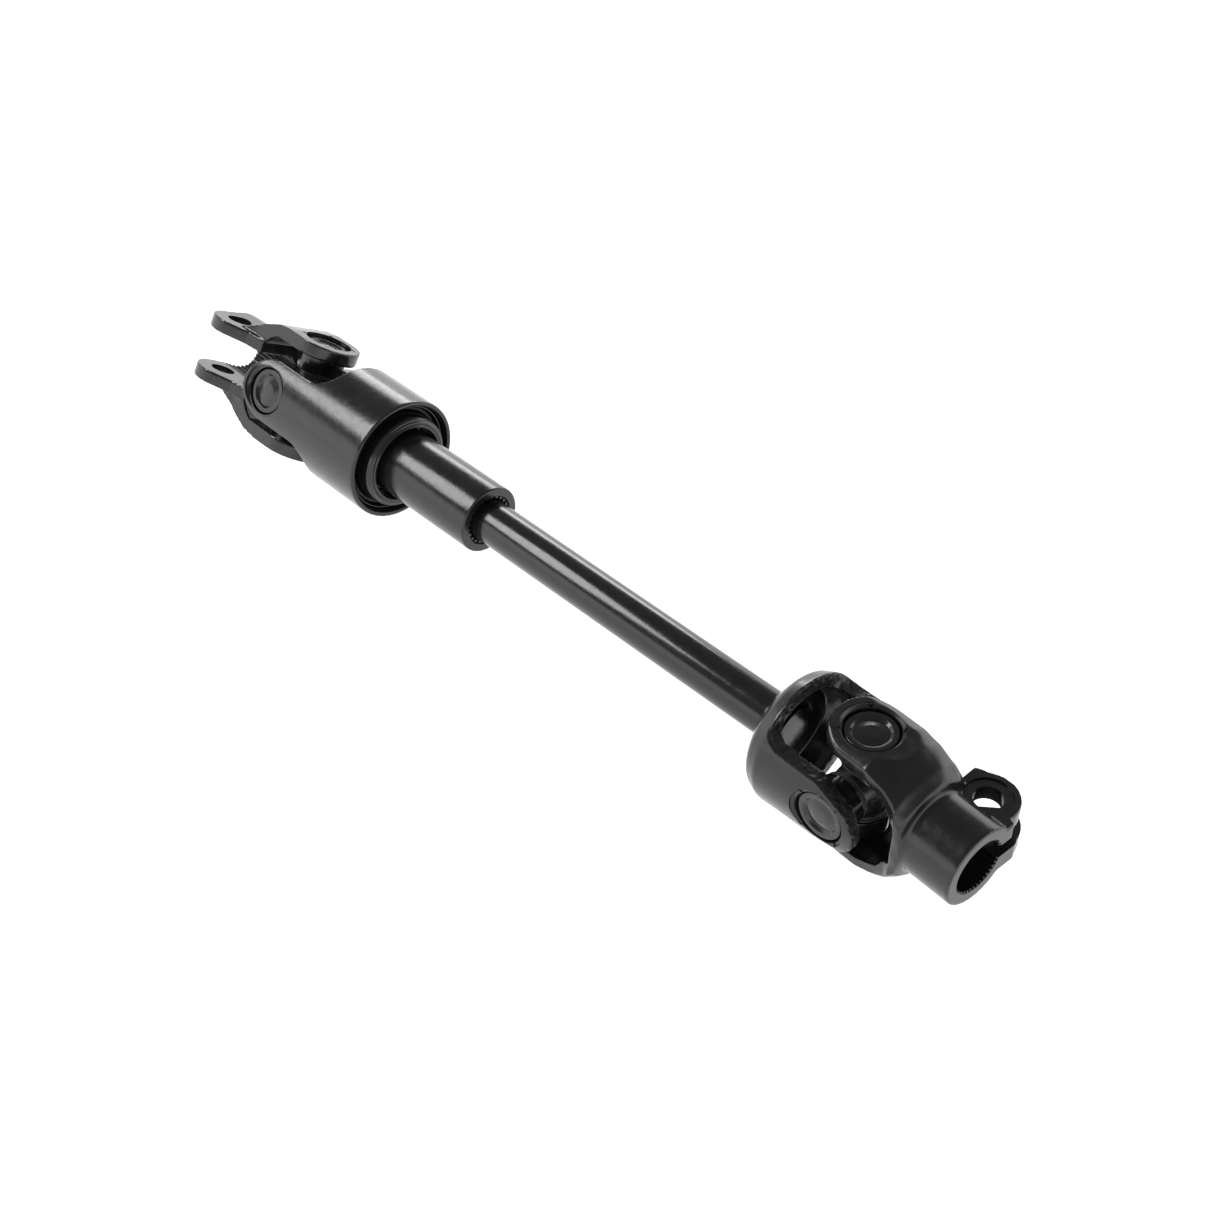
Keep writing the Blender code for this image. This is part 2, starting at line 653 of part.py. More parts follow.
build_housing(LEFT_JOINT)
build_left_clamp(LEFT_JOINT)
build_cross("left", LEFT_JOINT)
for end, direction in (("near", NEAR), ("far", FAR), ("upper", UP), ("lower", DOWN)):
    build_bearing("left", end, LEFT_JOINT, direction)
build_coupling(AXIS)
build_tube(AXIS)
build_shaft(AXIS)
build_shaft_yoke(RIGHT_JOINT)
build_cross("right", RIGHT_JOINT)
for end, direction in (("near", NEAR), ("far", FAR), ("upper", UP), ("lower", DOWN)):
    build_bearing("right", end, RIGHT_JOINT, direction)
build_right_clamp(RIGHT_CLAMP)
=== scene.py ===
"""Looks of a steering intermediate shaft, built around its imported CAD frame.

Each piece is modelled in millimetres in the local frame of its joint and then placed in the world in metres.
In the left joint's frame -Y points out of the coupling housing's near cap, and +Z out of the clamp's
upper arm.
"""

import json
import math

import bmesh
import bpy
from mathutils import Matrix, Vector, noise


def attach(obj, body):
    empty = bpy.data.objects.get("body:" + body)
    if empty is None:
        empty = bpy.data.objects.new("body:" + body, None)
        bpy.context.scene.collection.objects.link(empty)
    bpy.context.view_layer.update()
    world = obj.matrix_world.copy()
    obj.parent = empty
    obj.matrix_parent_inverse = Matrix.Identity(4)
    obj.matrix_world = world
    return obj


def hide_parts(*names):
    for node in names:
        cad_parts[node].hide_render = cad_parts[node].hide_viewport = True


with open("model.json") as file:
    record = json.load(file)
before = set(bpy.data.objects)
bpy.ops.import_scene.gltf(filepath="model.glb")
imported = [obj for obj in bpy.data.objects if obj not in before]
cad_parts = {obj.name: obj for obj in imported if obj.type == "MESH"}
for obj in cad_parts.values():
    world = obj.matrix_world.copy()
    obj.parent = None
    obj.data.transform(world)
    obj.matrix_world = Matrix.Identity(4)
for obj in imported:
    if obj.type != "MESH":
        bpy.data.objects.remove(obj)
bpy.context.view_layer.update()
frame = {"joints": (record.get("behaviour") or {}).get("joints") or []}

TO_METRES = Matrix.Scale(0.001, 4)
JOINTS = {joint["name"]: joint for joint in frame["joints"]}
LEFT = Vector(JOINTS["left_cross_hinge"]["pos_m"])
RIGHT = Vector(JOINTS["right_cross_hinge"]["pos_m"])
NEAR_AXIS = Vector(JOINTS["left_cross_hinge"]["axis"])
UPPER_AXIS = Vector(JOINTS["left_clamp_hinge"]["axis"])

# Shared sizes, in millimetres, as in the CAD model
SHAFT_RADIUS = 7.25
TUBE_RADIUS = 11.7
HOUSING_RADIUS = 21.6
HOUSING_END = 52.0
TUBE_START = 33.0
TUBE_END = 96.5
SPACING = 255.0
ARM_OUTER = 20.9
ARM_INNER = 16.0
ARM_RADIUS = 11.6
PIN_BORE = 8.3
CLAMP_SWING = math.radians(-3.5)
BOLT_HOLE = 4.3
NECK_HOLE = 6.1
CUP_RIM = -22.8

# The floor lies just under the shaft, in metres
FLOOR_LEVEL = -0.0005
FLOOR_REACH = 6.0


def frame_of(origin, x_axis, y_axis, z_axis):
    """The matrix that carries millimetres in a local frame to metres in the world."""
    turn = Matrix((x_axis, y_axis, z_axis)).transposed().to_4x4()
    return Matrix.Translation(origin) @ turn @ TO_METRES


AXIS_FRAME = frame_of(LEFT, Vector((1, 0, 0)), Vector((0, 1, 0)), Vector((0, 0, 1)))
LEFT_FRAME = frame_of(LEFT, Vector((1, 0, 0)), -NEAR_AXIS, UPPER_AXIS)
RIGHT_FRAME = frame_of(RIGHT, Vector((1, 0, 0)), Vector((0, 1, 0)), Vector((0, 0, 1)))
CLAMP_FRAME = RIGHT_FRAME @ Matrix.Rotation(CLAMP_SWING, 4, "Z")

# Turns that carry the +X axis of a turned piece to another direction
ALONG_X = Matrix.Identity(4)
TURNS = {
    "upper": Matrix.Rotation(-math.pi / 2, 4, "Y"),
    "lower": Matrix.Rotation(math.pi / 2, 4, "Y"),
    "far": Matrix.Rotation(math.pi / 2, 4, "Z"),
    "near": Matrix.Rotation(-math.pi / 2, 4, "Z"),
}


# ---------------------------------------------------------------- outlines


def arc(centre, radius, start, end, count=8):
    """Points on an arc between two angles in degrees, both ends included."""
    angles = [math.radians(start + (end - start) * i / count) for i in range(count + 1)]
    return [(centre[0] + radius * math.cos(a), centre[1] + radius * math.sin(a)) for a in angles]


def rounded(corners, count=5):
    """A closed outline of (u, v, fillet radius) corners, with each fillet as an arc."""
    points = []
    for i, (u, v, radius) in enumerate(corners):
        here = Vector((u, v))
        back = Vector(corners[i - 1][:2]) - here
        ahead = Vector(corners[(i + 1) % len(corners)][:2]) - here
        if radius <= 0 or back.length < 1e-6 or ahead.length < 1e-6:
            points.append((u, v))
            continue
        half = back.angle(ahead) / 2
        reach = min(radius / math.tan(half), back.length * 0.49, ahead.length * 0.49)
        start = here + back.normalized() * reach
        end = here + ahead.normalized() * reach
        for step in range(count + 1):
            share = step / count
            points.append(tuple(start * (1 - share) ** 2 + here * 2 * share * (1 - share) + end * share**2))
    return points


def teeth(count, root, tip, start=0.0):
    """A round outline with narrow round-topped teeth."""
    points = []
    for tooth in range(count):
        for share, depth in ((0.0, 0.0), (0.18, 0.35), (0.34, 1.0), (0.62, 1.0), (0.8, 0.35)):
            angle = math.tau * (tooth + share) / count + start
            radius = root + (tip - root) * depth
            points.append((radius * math.cos(angle), radius * math.sin(angle)))
    return points


# ---------------------------------------------------------------- solids


def to_object(name, shape):
    mesh = bpy.data.meshes.new(name)
    bmesh.ops.recalc_face_normals(shape, faces=shape.faces)
    shape.to_mesh(mesh)
    shape.free()
    piece = bpy.data.objects.new(name, mesh)
    bpy.context.scene.collection.objects.link(piece)
    return piece


def lathe(name, outline, steps=96, turn=ALONG_X):
    """Turn a closed (axial, radius) outline about the X axis, then turn the piece to its direction."""
    shape = bmesh.new()
    rings = []
    for axial, radius in outline:
        if radius < 1e-6:
            rings.append([shape.verts.new((axial, 0.0, 0.0))] * steps)
            continue
        angles = [math.tau * i / steps for i in range(steps)]
        rings.append([shape.verts.new((axial, radius * math.sin(a), radius * math.cos(a))) for a in angles])
    for first, second in zip(rings, rings[1:] + rings[:1]):
        for i in range(steps):
            after = (i + 1) % steps
            corners = []
            for vert in (first[i], first[after], second[after], second[i]):
                if vert not in corners:
                    corners.append(vert)
            if len(corners) > 2:
                shape.faces.new(corners)
    shape.transform(turn)
    return to_object(name, shape)


def rod(name, start, end, radius, turn=ALONG_X, centre=(0, 0, 0), steps=64):
    piece = lathe(name, [(start, 0), (end, 0), (end, radius), (start, radius)], steps, turn)
    piece.data.transform(Matrix.Translation(centre))
    return piece


def plate(name, outline, low, high, plane="XY"):
    """Extrude a closed outline between two levels on the plane's normal."""
    shape = bmesh.new()
    spots = {
        "XY": lambda u, v, w: (u, v, w),
        "XZ": lambda u, v, w: (u, w, v),
        "YZ": lambda u, v, w: (w, u, v),
    }[plane]
    bottom = [shape.verts.new(spots(u, v, low)) for u, v in outline]
    top = [shape.verts.new(spots(u, v, high)) for u, v in outline]
    shape.faces.new(bottom)
    shape.faces.new(top)
    for i in range(len(outline)):
        after = (i + 1) % len(outline)
        shape.faces.new((bottom[i], bottom[after], top[after], top[i]))
    bmesh.ops.triangulate(shape, faces=shape.faces)
    return to_object(name, shape)


def block(name, low, high):
    corners = [(low[0], low[1]), (high[0], low[1]), (high[0], high[1]), (low[0], high[1])]
    return plate(name, corners, low[2], high[2])


def ball(name, centre, size):
    shape = bmesh.new()
    bmesh.ops.create_icosphere(shape, subdivisions=3, radius=1.0)
    shape.transform(Matrix.Translation(centre) @ Matrix.Diagonal((*size, 1.0)))
    return to_object(name, shape)


def settle(piece):
    """Apply a piece's modifiers."""
    graph = bpy.context.evaluated_depsgraph_get()
    mesh = bpy.data.meshes.new_from_object(piece.evaluated_get(graph))
    old = piece.data
    piece.modifiers.clear()
    piece.data = mesh
    bpy.data.meshes.remove(old)
    return piece


def combine(piece, operation, *others):
    """Apply one boolean with each of the other pieces, which are then removed."""
    for other in others:
        step = piece.modifiers.new(other.name, "BOOLEAN")
        step.operation = operation
        step.object = other
        step.solver = "MANIFOLD"
    settle(piece)
    for other in others:
        bpy.data.objects.remove(other, do_unlink=True)
    return piece


def soften(piece, voxel, passes):
    """Melt the piece's parts together and round its edges, as forging and paint do."""
    remesh = piece.modifiers.new("melt", "REMESH")
    remesh.mode = "VOXEL"
    remesh.voxel_size = voxel
    smooth = piece.modifiers.new("relax", "SMOOTH")
    smooth.iterations = passes
    smooth.factor = 0.5
    return settle(piece)


def true_round(piece, radius, reach, low, high):
    """Bring the points that lie near a cylinder about X back onto it."""
    for vert in piece.data.vertices:
        distance = math.hypot(vert.co.y, vert.co.z)
        if low < vert.co.x < high and abs(distance - radius) < reach:
            vert.co.y *= radius / distance
            vert.co.z *= radius / distance


def roughen(piece, size, depth, where):
    """Push points in and out by smooth noise, as much as where() says for each."""
    normals = [vertex.normal.copy() for vertex in piece.data.vertices]
    for vertex, normal in zip(piece.data.vertices, normals):
        amount = where(vertex.co, normal)
        if amount > 0:
            vertex.co += normal * depth * amount * noise.noise(vertex.co / size)


def show(piece, matrix, body, replaced, material, crease=35):
    """Place a finished piece in the world, shade it and tie it to its body."""
    piece.data.transform(matrix)
    if matrix.to_3x3().determinant() < 0:
        piece.data.flip_normals()
    piece.data.shade_smooth()
    piece.data.set_sharp_from_angle(angle=math.radians(crease))
    piece.data.materials.clear()
    for each in material if isinstance(material, (list, tuple)) else [material]:
        piece.data.materials.append(each)
    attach(piece, body)
    if replaced:
        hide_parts(*replaced)
    return piece


# ---------------------------------------------------------------- materials


class Nodes:
    """A short hand for building one material's node tree."""

    def __init__(self, name):
        self.material = bpy.data.materials.new(name)
        self.material.use_nodes = True
        self.tree = self.material.node_tree
        self.shader = self.tree.nodes["Principled BSDF"]
        self.place = self.add("ShaderNodeTexCoord").outputs["Object"]

    def add(self, kind, **settings):
        node = self.tree.nodes.new(kind)
        for key, value in settings.items():
            setattr(node, key, value)
        return node

    def link(self, source, target):
        self.tree.links.new(source, target)

    def cloud(self, scale, detail=2.0, roughness=0.5):
        node = self.add("ShaderNodeTexNoise")
        node.inputs["Scale"].default_value = scale
        node.inputs["Detail"].default_value = detail
        node.inputs["Roughness"].default_value = roughness
        self.link(self.place, node.inputs["Vector"])
        return node.outputs["Fac"]

    def span(self, source, low, high, start=0.3, end=0.7):
        node = self.add("ShaderNodeMapRange")
        node.inputs["From Min"].default_value = start
        node.inputs["From Max"].default_value = end
        node.inputs["To Min"].default_value = low
        node.inputs["To Max"].default_value = high
        self.link(source, node.inputs["Value"])
        return node.outputs["Result"]

    def shades(self, source, *stops):
        node = self.add("ShaderNodeValToRGB")
        ramp = node.color_ramp
        while len(ramp.elements) < len(stops):
            ramp.elements.new(0.5)
        for element, (position, colour) in zip(ramp.elements, stops):
            element.position = position
            element.color = (*colour, 1.0)
        self.link(source, node.inputs["Fac"])
        return node.outputs["Color"]

    def bump(self, source, distance, strength=1.0, under=None):
        node = self.add("ShaderNodeBump")
        node.inputs["Distance"].default_value = distance
        node.inputs["Strength"].default_value = strength
        self.link(source, node.inputs["Height"])
        if under is not None:
            self.link(under, node.inputs["Normal"])
        return node.outputs["Normal"]


def paint(name, peel=0.5, grain=0.0, rough=(0.13, 0.21), peel_scale=700.0):
    """Near-black electrocoat: satin gloss with orange peel, and grit where the steel beneath was sheared."""
    nodes = Nodes(name)
    dark = (0.35, (0.006, 0.006, 0.0065))
    light = (0.7, (0.010, 0.010, 0.0105))
    shade = nodes.shades(nodes.cloud(160.0, 3.0), dark, light)
    nodes.link(shade, nodes.shader.inputs["Base Color"])
    nodes.link(nodes.span(nodes.cloud(420.0, 2.0), *rough), nodes.shader.inputs["Roughness"])
    wave = nodes.bump(nodes.cloud(peel_scale, 1.0), 0.00002, peel)
    fine = nodes.bump(nodes.cloud(2600.0, 2.0), 0.00001, 0.7 * peel, wave)
    if grain > 0:
        fine = nodes.bump(nodes.cloud(1900.0, 4.0, 0.6), 0.00005, grain, fine)
    nodes.link(fine, nodes.shader.inputs["Normal"])
    nodes.shader.inputs["IOR"].default_value = 1.5
    return nodes.material


def metal(name, colour, rough, scratch=0.3):
    """Turned steel with fine tool marks."""
    nodes = Nodes(name)
    darker = tuple(0.7 * value for value in colour)
    shade = nodes.shades(nodes.cloud(300.0, 3.0), (0.3, darker), (0.7, colour))
    nodes.link(shade, nodes.shader.inputs["Base Color"])
    nodes.link(nodes.span(nodes.cloud(900.0, 3.0), rough, rough + 0.15), nodes.shader.inputs["Roughness"])
    nodes.link(nodes.bump(nodes.cloud(2400.0, 3.0), 0.00001, scratch), nodes.shader.inputs["Normal"])
    nodes.shader.inputs["Metallic"].default_value = 1.0
    return nodes.material


def moulded_rubber(name):
    nodes = Nodes(name)
    shade = nodes.shades(nodes.cloud(250.0, 3.0), (0.3, (0.012, 0.011, 0.010)), (0.75, (0.03, 0.026, 0.022)))
    nodes.link(shade, nodes.shader.inputs["Base Color"])
    nodes.link(nodes.span(nodes.cloud(900.0, 2.0), 0.55, 0.75), nodes.shader.inputs["Roughness"])
    nodes.link(nodes.bump(nodes.cloud(1500.0, 3.0), 0.00003, 0.4), nodes.shader.inputs["Normal"])
    return nodes.material


PAINT = paint("black_paint", peel=0.7)
PEEL_PAINT = paint("black_paint_orange_peel", peel=1.0, rough=(0.15, 0.24))
FORGED_PAINT = paint("black_paint_forged", peel=0.9, peel_scale=450.0, rough=(0.16, 0.26))
SHEARED_PAINT = paint("black_paint_sheared", peel=0.6, grain=0.9, rough=(0.3, 0.45))
STEEL = metal("dark_steel", (0.16, 0.16, 0.17), 0.3)
BRIGHT_STEEL = metal("bright_steel", (0.55, 0.55, 0.56), 0.2)
RUBBER = moulded_rubber("rubber")


# ---------------------------------------------------------------- bearings and crosses


def build_cross(side, matrix):
    half = [(17.6, 0), (17.6, 4.2), (16.8, 5.0), (9.0, 5.0), (8.2, 5.2), (7.4, 6.6), (4.0, 7.1)]
    outline = half + [(-axial, radius) for axial, radius in reversed(half)]
    cross = lathe("cross_pin", outline, 64, TURNS["upper"])
    combine(cross, "UNION", lathe("second_pin", outline, 64, TURNS["near"]))
    cross.name = side + "_cross_spider"
    show(cross, matrix, side + "_spider", [side + "_cross"], STEEL)


def build_bearing(side, place, matrix, body):
    """A staked cup with a domed end, its rollers and its ribbed seal."""
    turn = TURNS[place]
    cup = rounded(
        [
            (19.4, 0, 0),
            (19.25, 2.6, 2.0),
            (18.7, 5.2, 0.3),
            (19.55, 6.0, 0.35),
            (19.6, 7.5, 0.4),
            (18.9, 8.0, 0.4),
            (9.9, 8.0, 0.3),
            (9.9, 6.9, 0.1),
            (18.0, 6.9, 0.3),
            (18.0, 0, 0),
        ],
        4,
    )
    piece = lathe(f"{side}_{place}_bearing_cup", cup, 96, turn)
    show(piece, matrix, body, [f"{side}_cup_{place}"], PAINT)
    needles = lathe("needles", [(10.5, 5.3), (16.8, 5.3), (16.8, 6.6), (10.5, 6.6)], 64, turn)
    needles.name = f"{side}_{place}_needle_ring"
    show(needles, matrix, body, [f"{side}_needles_{place}"], BRIGHT_STEEL)
    seal = rounded(
        [
            (9.6, 5.3, 0.2),
            (9.6, 7.7, 0.35),
            (9.0, 7.7, 0.3),
            (8.8, 7.2, 0.15),
            (8.55, 7.2, 0.15),
            (8.35, 7.6, 0.3),
            (7.75, 7.3, 0.35),
            (7.7, 5.3, 0.2),
        ],
        3,
    )
    piece = lathe(f"{side}_{place}_seal", seal, 96, turn)
    piece.name = f"{side}_{place}_lip_seal"
    show(piece, matrix, side + "_spider", [f"{side}_seal_{place}"], RUBBER)


def stakes(label, places, spots, level, radius=8.9):
    """Cutters for the punch marks that hold the cups in their bores."""
    marks = []
    for place in places:
        for spot in spots:
            angle = math.radians(spot)
            mark = ball(label, (level, radius * math.sin(angle), radius * math.cos(angle)), (0.7, 0.75, 0.75))
            mark.data.transform(TURNS[place])
            marks.append(mark)
    return marks


# ---------------------------------------------------------------- left joint


def build_housing():
    """The coupling housing: a round can whose closed end carries the left joint's two arms."""
    profile = rounded(
        [
            (30, 0, 0),
            (30, 19.6, 0.8),
            (HOUSING_END - 1.5, 19.6, 0.3),
            (HOUSING_END, 20.2, 0.6),
            (HOUSING_END, HOUSING_RADIUS, 1.0),
            (-13.6, HOUSING_RADIUS, 0),
            (-13.6, ARM_INNER, 0),
            (15, ARM_INNER, 3),
            (22, 11, 3),
            (24, 0, 0),
        ]
    )
    housing = lathe("coupling_housing", profile, 160)
    side = [(-u, v) for u, v in arc((0, 0), 11.2, 0, 90, 20)]
    side += arc((16.6, 18.4), 7.2, -90, 0, 10)
    side += [(23.8, 24.0), (60.0, 24.0)]
    plan = side + [(u, -v) for u, v in reversed(side)]
    combine(housing, "INTERSECT", plate("arm_plan", plan, -30, 30, "XZ"))
    soften(housing, 0.42, 5)
    true_round(housing, HOUSING_RADIUS, 0.12, -14, HOUSING_END - 1.8)
    cutters = []
    for place in ("near", "far"):
        seat = rounded([(19.9, 0, 0), (19.9, 8.9, 0.2), (20.7, 9.6, 0.4), (26, 10.4, 0), (26, 0, 0)])
        cutters.append(lathe("seat", seat, 96, TURNS[place]))
    cutters.append(rod("pin_bore", -30, 30, PIN_BORE, TURNS["near"], steps=96))
    combine(housing, "DIFFERENCE", *cutters)
    show(housing, LEFT_FRAME, "coupling_housing", ["coupling_housing_yoke"], PEEL_PAINT)


def build_left_clamp():
    """The stamped open yoke: two arms, a round trough and two bolt ears."""
    back = 13.0
    ear = 11.9
    bolt = (-37.0, -8.7)
    arm = [
        (ARM_RADIUS + 1, ARM_INNER),
        (ARM_RADIUS + 1, ARM_OUTER),
        (-8.0, ARM_OUTER),
        (-14.0, ARM_OUTER - 0.8),
        (-20.0, ARM_OUTER - 3.2),
        (-26.0, ear + 2.6),
        (-30.0, ear + 0.5),
        (-33.0, ear),
        (-33.0, 5.0),
        (-22.5, 5.0),
        (-20.5, 9.0),
        (-15.5, 14.2),
        (-12.5, ARM_INNER),
    ]
    plan = arc((0, 0), ARM_RADIUS, -90, 90, 32)
    plan += [(-18.0, ARM_RADIUS), (-24.0, 9.9), (-34.0, 7.4), (-34.0, -13.6), (-24.0, -ARM_RADIUS)]
    arms = plate("upper_arm", arm, -20, 20, "XZ")
    lower = plate("lower_arm", [(u, -v) for u, v in arm], -20, 20, "XZ")
    combine(arms, "UNION", lower)
    combine(arms, "INTERSECT", plate("arm_plan", plan, -30, 30))
    half = arc((0, 0), back, 0, 90, 16) + [(-7.0, ear), (-19.0, ear)]
    outline = half[1:] + [(u, -v) for u, v in reversed(half)]
    channel = plate("channel", outline, -48, -18, "YZ")
    sides = [(-18.2, back + 1), (-41.0, back + 1), (-41.0, 5.2), (-44.6, -0.6)]
    sides += arc(bolt, 9.4, 152, 305, 24) + [(-26.0, -13.2), (-18.2, -11.8)]
    combine(channel, "INTERSECT", plate("ear_plan", sides, -30, 30))
    combine(channel, "UNION", arms)
    hollow = rod("trough_blank", -60, 0, 7.2)
    mouth = block("trough_mouth", (-60, -30, -7.2), (-17, 0, 7.2))
    combine(channel, "DIFFERENCE", hollow, mouth)
    soften(channel, 0.4, 3)
    serration = teeth(36, 7.3, 7.95)
    cutters = [
        plate("serration", serration, -60, 0, "YZ"),
        rod("pin_bore", -30, 30, PIN_BORE, TURNS["upper"], steps=96),
        rod("bolt_hole", -30, 30, BOLT_HOLE, TURNS["upper"], (*bolt, 0)),
    ]
    combine(channel, "DIFFERENCE", *cutters)
    combine(channel, "DIFFERENCE", *stakes("stake", ("upper", "lower"), (45, 135, 225, 315), ARM_OUTER + 0.1))
    channel.name = "open_clamp_yoke"
    show(channel, LEFT_FRAME, "left_clamp", ["left_clamp_yoke"], FORGED_PAINT)


def build_coupling():
    """The rubber-isolated coupling seen in the housing's mouth."""
    sleeve = rounded(
        [
            (54.8, 13.4, 0.3),
            (54.8, 14.1, 0.2),
            (54.35, 14.4, 0.1),
            (54.6, 14.8, 0.2),
            (54.5, 15.3, 0.2),
            (54.0, 15.6, 0.1),
            (53.9, 16.1, 0.2),
            (53.0, 16.5, 0.3),
            (36.0, 16.5, 0.3),
            (36.0, 12.0, 0.2),
            (45.0, 12.0, 0.2),
            (45.0, 13.4, 0.2),
        ],
        4,
    )
    piece = lathe("coupling_sleeve", sleeve, 160)
    show(piece, AXIS_FRAME, "telescope_tube", ["inner_sleeve"], PAINT)
    shell = rounded([(31.0, 18.7, 0.2), (49.5, 18.7, 0.25), (49.5, 19.3, 0.25), (31.0, 19.3, 0.2)], 3)
    piece = lathe("bush_shell", shell, 160)
    show(piece, AXIS_FRAME, "coupling_housing", ["bush_outer_shell"], PAINT)
    isolator = rounded(
        [
            (47.2, 16.8, 0.3),
            (48.0, 17.3, 0.4),
            (48.0, 18.0, 0.4),
            (47.0, 18.4, 0.3),
            (34.0, 18.4, 0.3),
            (34.0, 13.0, 0.3),
            (35.7, 13.0, 0.2),
            (35.7, 16.8, 0.3),
        ],
        4,
    )
    piece = lathe("bush_rubber", isolator, 160)
    show(piece, AXIS_FRAME, "coupling_housing", ["rubber_isolator"], RUBBER)
    ring = rounded([(45.4, 12.0, 0.2), (47.0, 12.0, 0.3), (47.0, 13.1, 0.3), (45.4, 13.1, 0.2)], 3)
    piece = lathe("retaining_ring", ring, 128)
    show(piece, AXIS_FRAME, "telescope_tube", ["tube_retaining_ring"], STEEL)


def build_tube():
    """The outer tube of the telescope, splined inside, with its end plug."""
    outline = rounded(
        [
            (TUBE_START, 0, 0),
            (TUBE_END, 0, 0),
            (TUBE_END, TUBE_RADIUS, 0.7),
            (TUBE_START, TUBE_RADIUS, 0.4),
        ]
    )
    tube = lathe("telescope_tube_shell", outline, 128)
    bore = plate("tube_spline", teeth(24, 7.55, 8.5), 20, 110, "YZ")
    inside, outside = TUBE_END - 0.6, TUBE_END + 0.6
    mouth = lathe("mouth", [(inside, 0), (inside, 8.5), (outside, 9.4), (outside, 0)])
    combine(tube, "DIFFERENCE", bore, mouth)
    show(tube, AXIS_FRAME, "telescope_tube", ["outer_tube"], PEEL_PAINT)
    plug = lathe("end_plug", rounded([(33.5, 0, 0), (35.5, 0, 0), (35.5, 7.25, 0.4), (33.5, 7.25, 0.4)]), 96)
    show(plug, AXIS_FRAME, "telescope_tube", ["tube_end_plug"], STEEL)


# ---------------------------------------------------------------- shaft and right joint


def build_shaft():
    """The inner shaft, with its spline and its riveted head."""
    base = SPACING - 32.7
    face = base + 6.7
    shoulder = base + 0.6
    outline = rounded(
        [
            (face, 0, 0),
            (face, 7.7, 0.3),
            (base + 6.0, 7.7, 0.1),
            (base + 6.0, 5.8, 0.1),
            (shoulder, 5.8, 0.1),
            (shoulder, SHAFT_RADIUS, 0.2),
            (88.0, SHAFT_RADIUS, 0.1),
            (88.0, 4.0, 0.1),
            (86.0, 4.0, 0.1),
            (86.0, 0, 0),
        ]
    )
    shaft = lathe("telescope_shaft_rod", outline, 128)
    combine(shaft, "UNION", plate("shaft_spline", teeth(24, 7.25, 8.2), 47.0, 88.0, "YZ"))
    show(shaft, AXIS_FRAME, "telescope_shaft", ["inner_shaft"], PAINT)


def build_cup_yoke():
    """The round cup riveted to the shaft's end, its wall cut away to leave two arms with sheared edges."""
    profile = rounded(
        [
            (-27.0, 0, 0),
            (-27.0, 14.2, 0.4),
            (-25.6, 15.0, 0.3),
            (-24.5, 15.6, 0.3),
            (CUP_RIM, 16.6, 1.0),
            (-20.5, 17.4, 1.0),
            (14.0, 17.4, 0),
            (14.0, 21.4, 0),
            (-23.0, 21.4, 3.0),
            (-27.4, 19.6, 4.0),
            (-30.9, 14.0, 4.0),
            (-32.5, 8.6, 1.0),
            (-32.7, 0, 0),
        ]
    )
    yoke = lathe("cup", profile, 160)
    half = rounded(
        [
            (12.7, -2.0, 0),
            (12.7, 2.2, 2.0),
            (9.2, 7.0, 5.0),
            (-2.6, 10.5, 6.0),
            (-18.0, 10.9, 4.0),
            (-22.4, 12.8, 3.0),
            (CUP_RIM, 24.0, 0),
            (-40.0, 24.0, 0),
            (-40.0, -2.0, 0),
        ]
    )
    low_rim = [(-40.0, -24.0), (-19.5, -24.0), (-19.5, 0.0), (-40.0, 0.0)]
    plan = plate("arm_plan_upper", half, -30, 30, "XZ")
    lower = plate("arm_plan_lower", [(u, -v) for u, v in half], -30, 30, "XZ")
    combine(plan, "UNION", lower, plate("low_rim", low_rim, -30, 30, "XZ"))
    combine(yoke, "INTERSECT", plan)
    soften(yoke, 0.36, 3)
    roughen(yoke, 1.3, 0.28, lambda spot, normal: 1.0 if is_sheared(spot, normal) else 0.0)
    cutters = [
        rod("neck_hole", -45, -20, NECK_HOLE, steps=96),
        rod("groove", -27.8, -15, 9.0, steps=96),
        rod("shoulder_seat", -45, -31.8, 7.55, steps=96),
        rod("pin_bore", -30, 30, PIN_BORE, TURNS["near"], steps=96),
    ]
    for place in ("near", "far"):
        seat = rounded([(20.0, 0, 0), (20.0, 8.9, 0.2), (20.8, 9.4, 0.4), (26, 9.8, 0), (26, 0, 0)])
        cutters.append(lathe("seat", seat, 96, TURNS[place]))
    combine(yoke, "DIFFERENCE", *cutters)
    combine(yoke, "DIFFERENCE", *stakes("stake", ("near", "far"), (40, 130, 220, 310), 20.1))
    yoke.name = "cup_yoke"
    show(yoke, RIGHT_FRAME, "telescope_shaft", ["shaft_yoke"], [FORGED_PAINT, SHEARED_PAINT])
    edge_in_paint(yoke, RIGHT_FRAME)


def is_sheared(spot, normal):
    """Whether a point of the cup yoke lies on the sheared edge of its wall."""
    radius = math.hypot(spot.y, spot.z)
    outward = (normal.y * spot.y + normal.z * spot.z) / max(radius, 0.1)
    return spot.x > -23.4 and radius > 15.8 and abs(outward) < 0.6


def edge_in_paint(yoke, matrix):
    """Give the sheared faces the gritty paint."""
    back = matrix.inverted()
    for face in yoke.data.polygons:
        if is_sheared(back @ face.center, face.normal):
            face.material_index = 1


